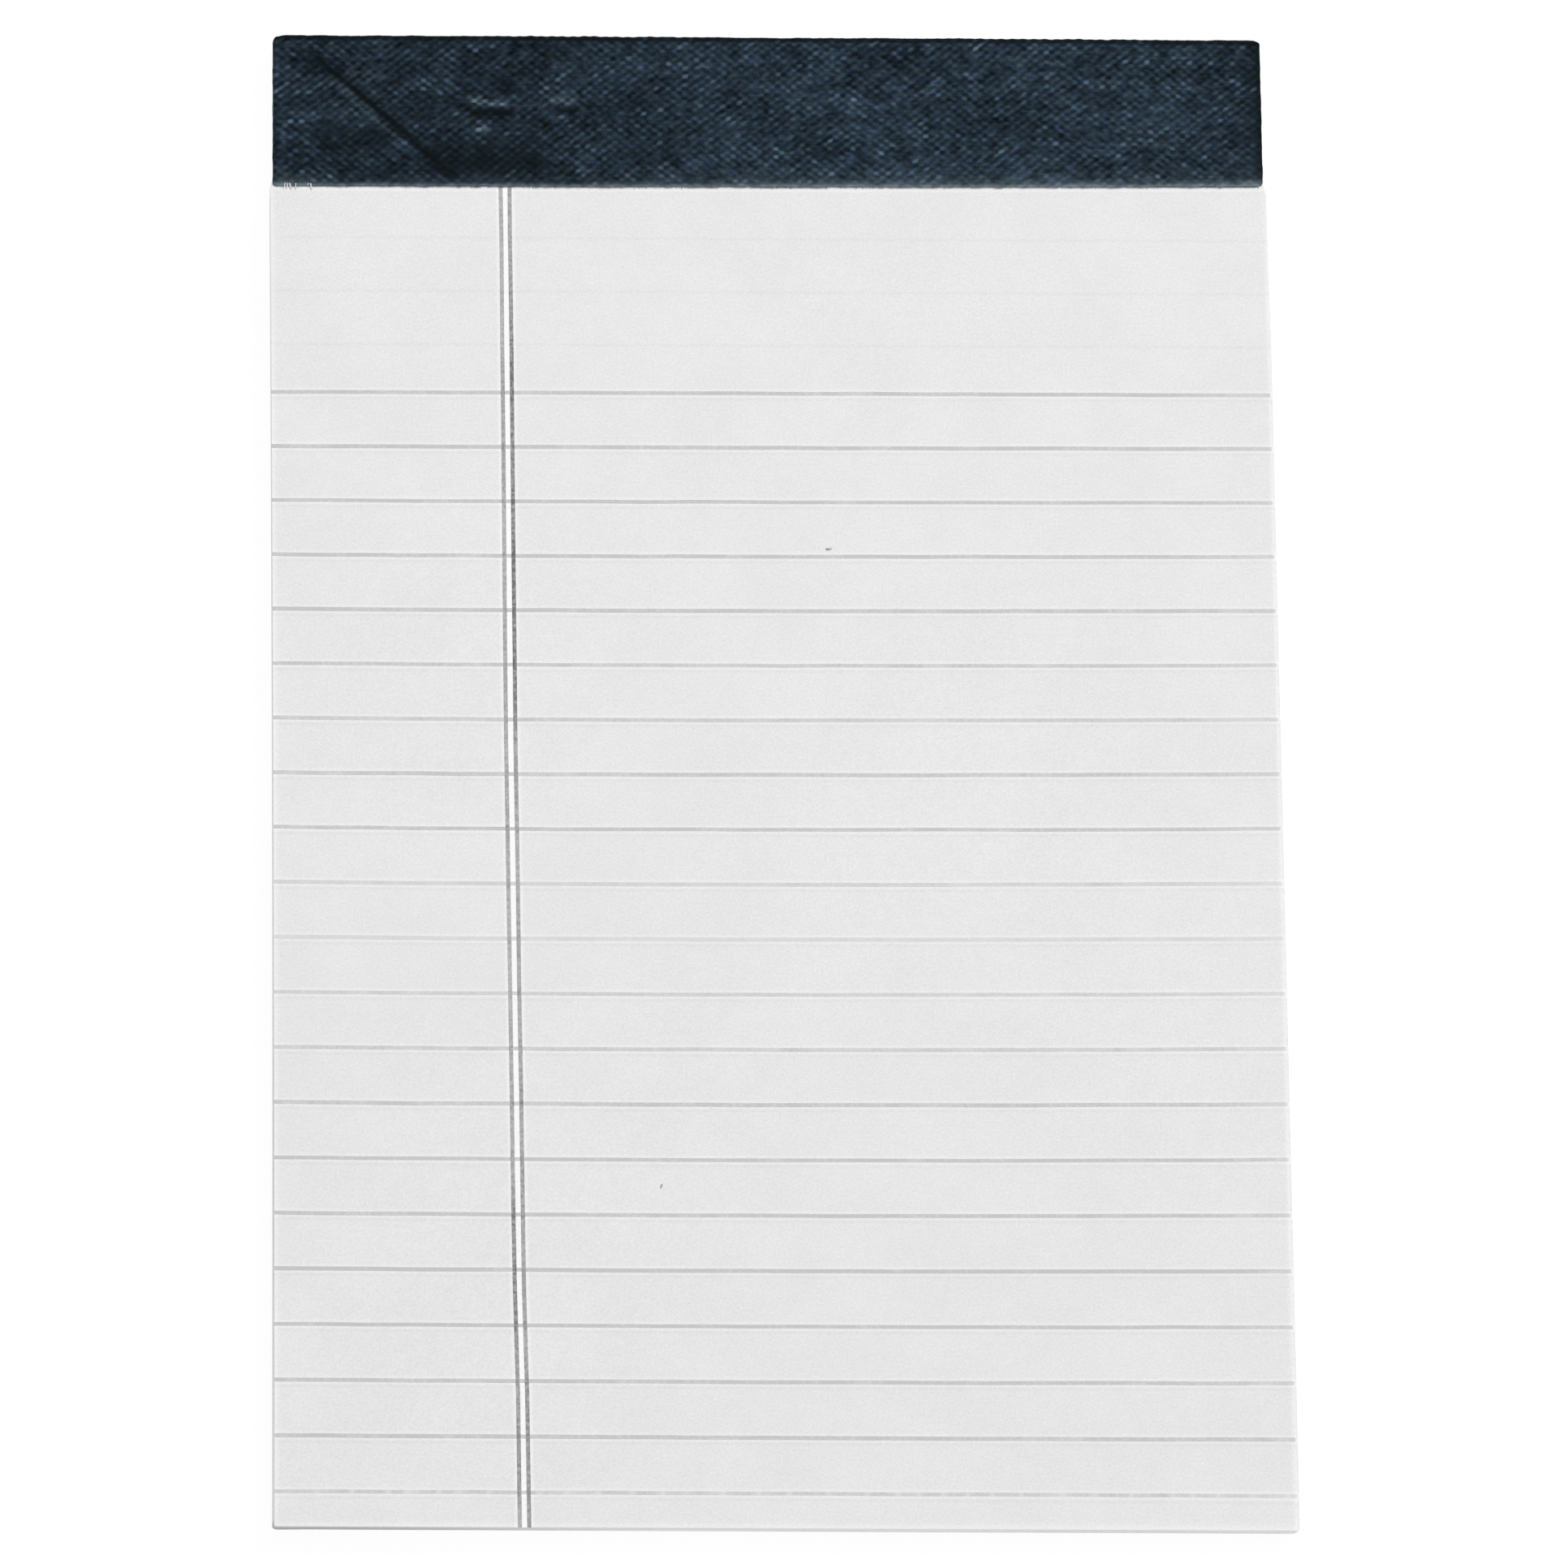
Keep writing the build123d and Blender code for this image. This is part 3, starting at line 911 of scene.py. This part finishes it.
def tape_relief(x, y, s, front):
    """How far the tape's outside stands out from its plain section, apart from the weave."""
    rise = np.zeros_like(x)
    for start, stop, height in clinches():
        nearest = np.clip(x, min(start, stop), max(start, stop))
        fading = 1 - (1 - BUMP_END_HEIGHT) * np.abs(nearest - start) / CLINCH_LENGTH
        distance = np.hypot(x - nearest, (y - stitch_y) * 1.15)
        rise += height * fading * np.exp(-(distance / BUMP_WIDTH) ** 2) * front
    offset, there = crease_offset(x, y)
    fold = np.exp(-(offset / CREASE_WIDTH) ** 2) - 0.2 * np.exp(-((offset + 1.0) / 0.6) ** 2)
    rise -= CREASE_DEPTH * fold * there * front
    swell = 0.03 * MM * np.sin(x / (9 * MM) + 1.0) * np.sin(s / (4.1 * MM) + 0.4)
    return rise + swell * smooth(0, 2 * MM, s)


def marks(x, y, places):
    """How strongly each point of the tape lies in one of the marks."""
    total = np.zeros_like(x)
    for start, stop, along, half_width, strength in places:
        outside = np.abs(x / MM - (start + stop) / 2) - (stop - start) / 2
        total += strength * (1 - smooth(-0.6, 0.5, outside)) * np.exp(-((y / MM - along) / half_width) ** 2)
    return total


def askew_by(x):
    """How far the front cut edge of the tape lies towards the head of its plain place."""
    return FOOT_EDGE_SHIFT + FOOT_EDGE_SLANT * x + FOOT_EDGE_BEND * x ** 2


def tape_marks(x, y, side, end, front):
    """Where the tape gets painted shade, where it gets wear and painted highlights, and where its cut ends
    are frayed, 0 to 1.
    """
    offset, there = crease_offset(x, y)
    flank = smooth(-58, -55, x / MM) * (1 - smooth(-51, -46, x / MM))
    # painted shade: a dark line in the crease, and the shade marks listed above
    painted_shade = np.exp(-((offset - 0.12) / 0.52) ** 2) * there + marks(x, y, PAINTED_SHADE_MARKS)
    # painted highlight on the lit lower flank of the crease, and the marks listed above
    wear_and_highlight = 0.4 * flank * np.exp(-((offset + 0.85) / 0.45) ** 2) * there + marks(x, y, WEAR_AND_HIGHLIGHT_MARKS)
    painted_shade, wear_and_highlight = painted_shade * front, wear_and_highlight * front
    below = np.clip((y - head_y) / tape_thickness, 0, 1)
    # painted shade where the cloth turns over the head
    head_band = smooth(head_y - 0.85 * MM, head_y - 0.3 * MM, y) * (0.35 + 0.65 * front) * (1 - 0.3 * below)
    # painted shade along the cut sides, wide at the right end
    right_band = 0.5 * np.exp(-(side / (2.6 * MM)) ** 2) + 0.45 * np.exp(-(side / (0.8 * MM)) ** 2)
    left_band = 0.5 * np.exp(-(side / (0.3 * MM)) ** 2)
    painted_shade = painted_shade + 0.92 * head_band + np.where(x > 0, right_band, left_band)
    to_right = smooth(-35 * MM, 20 * MM, x)
    frayed = (0.03 + 0.17 * to_right) * np.exp(-(end / (0.9 * MM)) ** 2)
    frayed = frayed + (0.01 + 0.07 * to_right) * np.exp(-(end / (1.9 * MM)) ** 2)
    frayed = frayed + 0.65 * np.exp(-(end / (0.32 * MM)) ** 2)
    at_right = smooth(tape_half - 4.5 * MM, tape_half - 2 * MM, x) * front
    at_left = smooth(tape_half - 7 * MM, tape_half - 4 * MM, -x) * front
    frayed = frayed + (0.4 * at_right + 0.32 * at_left) * np.exp(-(end / (0.8 * MM)) ** 2)
    return tuple(np.clip(mark, 0, 1) for mark in (painted_shade, wear_and_highlight, frayed))


def make_tape(material):
    """The cloth tape: a woven outside over a plain inside, closed along its cut edges."""
    section = tape_section()
    s, y, z, normal_y, normal_z = (section[:, k][:, None] for k in range(5))
    last_s = s[-1, 0]
    columns = round(2 * tape_half / (THREAD_X * MM / 3)) + 1
    share = np.linspace(0, 1, columns)[None, :]
    left, right = tape_limits(s, y, last_s)
    x = left + (right - left) * share
    s, y, z = (np.broadcast_to(a, x.shape) for a in (s, y, z))

    cut_wobble = wander(2 * tape_half, 0.6 * MM, 0.045 * MM, 40)(x + tape_half)
    head_wobble = wander(2 * tape_half, 1.2 * MM, 0.03 * MM, 41)(x + tape_half)
    side_wobble = wander(float(last_s), 0.9 * MM, 0.035 * MM, 42)(s)
    near_end = np.exp(-(s / (0.35 * MM)) ** 2)
    bow = 0.25 * np.sin(2 * math.pi * x / (61 * MM) + 0.8)
    slant = 0.3 * np.sin(2 * math.pi * s / (23 * MM)) + 0.2 * np.sin(2 * math.pi * x / (27 * MM))
    u = x / MM / THREAD_X + slant
    v = s / MM / THREAD_S + bow

    front = 1 - smooth(FRONT_DEPTH, FRONT_DEPTH + 1 * MM, tape_high.z - z)
    side = np.minimum(x - left, right - x)
    roll = EDGE_ROLL_DROP * np.clip(1 - side / EDGE_ROLL, 0, 1) ** 2
    end = np.minimum(s, last_s - s)
    roll = roll + 0.05 * MM * np.clip(1 - end / (0.4 * MM), 0, 1) ** 2
    calm = smooth(0, 0.25 * MM, side)
    outward = WEAVE_RELIEF * weave(u, v) * calm - roll + tape_relief(x, y, s, front)
    under = z < tape_thickness
    outward = np.where(under, np.minimum(outward, 0.0), outward)
    front_length = head_y - HEAD_BEND - tape_foot_y
    askew = askew_by(x) * np.clip(1 - s / front_length, 0, 1)
    askew = askew + HEAD_EDGE_SLANT * (x + tape_half) * smooth(head_y - 8 * MM, head_y, y)
    askew = askew + (head_wobble + HEAD_EDGE_SHIFT) * smooth(head_y - 1.5 * MM, head_y, y)
    outer_y = y + normal_y * outward + cut_wobble * near_end + askew
    outer_x = x + side_wobble * np.exp(-(side / (0.5 * MM)) ** 2)
    outer = np.stack([outer_x, outer_y, z + normal_z * outward], axis=-1)

    inner_y = section[:, 1] - section[:, 3] * tape_thickness
    inner_z = section[:, 2] - section[:, 4] * tape_thickness
    inner_left, inner_right = tape_limits(section[:, 0], inner_y, last_s)
    inner_askew = np.clip(1 - section[:, 0] / front_length, 0, 1)
    inner = np.stack([
        np.stack([inner_x, inner_y + askew_by(inner_x) * inner_askew, inner_z], 1)
        for inner_x in (inner_left, inner_right)
    ], axis=1)

    rows = len(section)
    first_inner = rows * columns
    faces = grid_faces(rows, columns)
    faces += grid_faces(rows, 2, first_inner, flipped=True)
    for k in range(rows - 1):
        outer_left, inner_left_at = k * columns, first_inner + 2 * k
        faces.append([outer_left, outer_left + columns, inner_left_at + 2, inner_left_at])
        outer_right = outer_left + columns - 1
        faces.append([outer_right + columns, outer_right, inner_left_at + 1, inner_left_at + 3])
    faces.append(list(range(columns))[::-1] + [first_inner, first_inner + 1])
    last_outer, last_inner = (rows - 1) * columns, first_inner + 2 * (rows - 1)
    faces.append(list(range(last_outer, last_outer + columns)) + [last_inner + 1, last_inner])
    tape = new_mesh("cloth_tape", np.concatenate([outer.reshape(-1, 3), inner.reshape(-1, 3)]), faces)

    painted_shade, wear_and_highlight, frayed = tape_marks(x, y, side, end, front)

    def padded(values):
        return np.concatenate([np.broadcast_to(values, x.shape).ravel(), np.zeros(2 * rows)])

    set_attribute(tape, "cloth_x", padded(x / MM))
    set_attribute(tape, "cloth_s", padded(s / MM))
    set_attribute(tape, "thread_u", padded(u))
    set_attribute(tape, "thread_v", padded(v))
    set_attribute(tape, "painted_shade", padded(painted_shade))
    set_attribute(tape, "wear_and_highlight", padded(wear_and_highlight))
    set_attribute(tape, "frayed", padded(frayed))
    tape.data.materials.append(material)
    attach(tape, "root")
    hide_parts("binding_tape")
    return tape


FIBRE_COUNT = 260
FRAYS = (-63.0, -62.7, -62.4, -61.6, -60.0, -59.7)


def make_fibres(material):
    """Short loose ends of thread along the front cut edge, longest where the tape has frayed."""
    places = np.concatenate([np.array(FRAYS) * MM, rng.uniform(-tape_half, tape_half, FIBRE_COUNT) * 0.99])
    points, faces = [], []
    for number, x in enumerate(places):
        frayed = number < len(FRAYS)
        length = (rng.uniform(0.35, 0.6) if frayed else rng.uniform(0.08, 0.3)) * MM
        radius = (0.12 if frayed else 0.028) * MM
        held = (0.3 if frayed else 0.12) * MM
        turn = rng.normal(0, 0.45)
        curl = rng.normal(0, 0.6)
        first = len(points)
        start_z = page_top_z + (0.2 if frayed else 0.1) * MM
        for k in range(5):
            t = k / 4
            angle = turn + curl * t
            px = x + math.sin(angle) * length * t
            py = tape_foot_y + askew_by(x)
            py += held - math.cos(angle) * (length + held) * t
            pz = start_z - (start_z - page_top_z - radius) * min(t * 1.5, 1.0)
            thick = radius * (1 - 0.5 * t)
            for corner in range(5):
                ring = 2 * math.pi * corner / 5
                points.append((px + math.cos(ring) * thick, py, pz + math.sin(ring) * thick))
        for k in range(4):
            for corner in range(5):
                following = (corner + 1) % 5
                at = first + 5 * k
                faces.append([at + corner, at + following, at + 5 + following, at + 5 + corner])
        faces.append([first + k for k in range(5)][::-1])
        faces.append([first + 20 + k for k in range(5)])
    piece = new_mesh("tape_fibres", points, faces)
    piece.data.materials.append(material)
    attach(piece, "root")
    return piece


# Stage

CAMERA_PITCH = math.radians(11.492)
CAMERA_YAW = math.radians(-3.974)
CAMERA_ROLL = math.radians(0.089)
CAMERA_DISTANCE = 1100 * MM
CAMERA_LENS = 196.76
CAMERA_TARGET = Vector((0.868 * MM, -2.043 * MM, page_top_z))


def make_camera():
    """The camera of the photograph: nearly overhead, from the foot and a little from the left."""
    turn = (Matrix.Rotation(CAMERA_PITCH, 4, "X") @ Matrix.Rotation(CAMERA_YAW, 4, "Y")
            @ Matrix.Rotation(CAMERA_ROLL, 4, "Z"))
    data = bpy.data.cameras.new("camera")
    data.sensor_width = 36
    data.lens = CAMERA_LENS
    camera = bpy.data.objects.new("camera", data)
    back = Matrix.Translation((0, 0, CAMERA_DISTANCE))
    camera.matrix_world = Matrix.Translation(CAMERA_TARGET) @ turn @ back
    bpy.context.scene.collection.objects.link(camera)
    bpy.context.scene.camera = camera


WORLD_LEVEL = 0.68
KEY_POWER = 78
KEY_SIZE = 1.7
KEY_FROM = Vector((1.95, 2.08, 2.86))


def make_light():
    """Soft even light, and a softbox from the upper right."""
    world = bpy.data.worlds.new("studio")
    world.use_nodes = True
    background = world.node_tree.nodes["Background"]
    background.inputs["Color"].default_value = (1, 1, 1, 1)
    strength = world.node_tree.nodes.new("ShaderNodeMapRange")
    strength.inputs["To Min"].default_value = WORLD_LEVEL
    world.node_tree.links.new(seen_directly(world.node_tree), strength.inputs["Value"])
    world.node_tree.links.new(strength.outputs["Result"], background.inputs["Strength"])
    bpy.context.scene.world = world
    data = bpy.data.lights.new("key", "AREA")
    data.shape = "DISK"
    data.size = KEY_SIZE
    data.energy = KEY_POWER
    key = bpy.data.objects.new("key", data)
    key.location = KEY_FROM
    key.rotation_euler = (-KEY_FROM).to_track_quat("-Z", "Y").to_euler()
    bpy.context.scene.collection.objects.link(key)


def make_floor():
    """A plain white floor under the pad."""
    reach = 3.0
    points = [(-reach, -reach, 0), (reach, -reach, 0), (reach, reach, 0), (-reach, reach, 0)]
    floor = new_mesh("floor", points, [[0, 1, 2, 3]])
    floor.data.materials.append(floor_material())


def dress(node, material):
    """Gives a carried-over CAD piece its material."""
    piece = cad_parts[node]
    piece.data.materials.clear()
    piece.data.materials.append(material)


paper = paper_material()
make_stack()
make_top_sheet(paper)
make_rules()
make_margin()
make_flecks(ink_material("fleck", FLECK_GREY))
make_tape(cloth_material())
make_fibres(fibre_material())
dress("backing_board", chipboard_material())
dress("wire_stitches", wire_material())
make_floor()
make_light()
make_camera()
bpy.context.scene.view_settings.view_transform = "Standard"
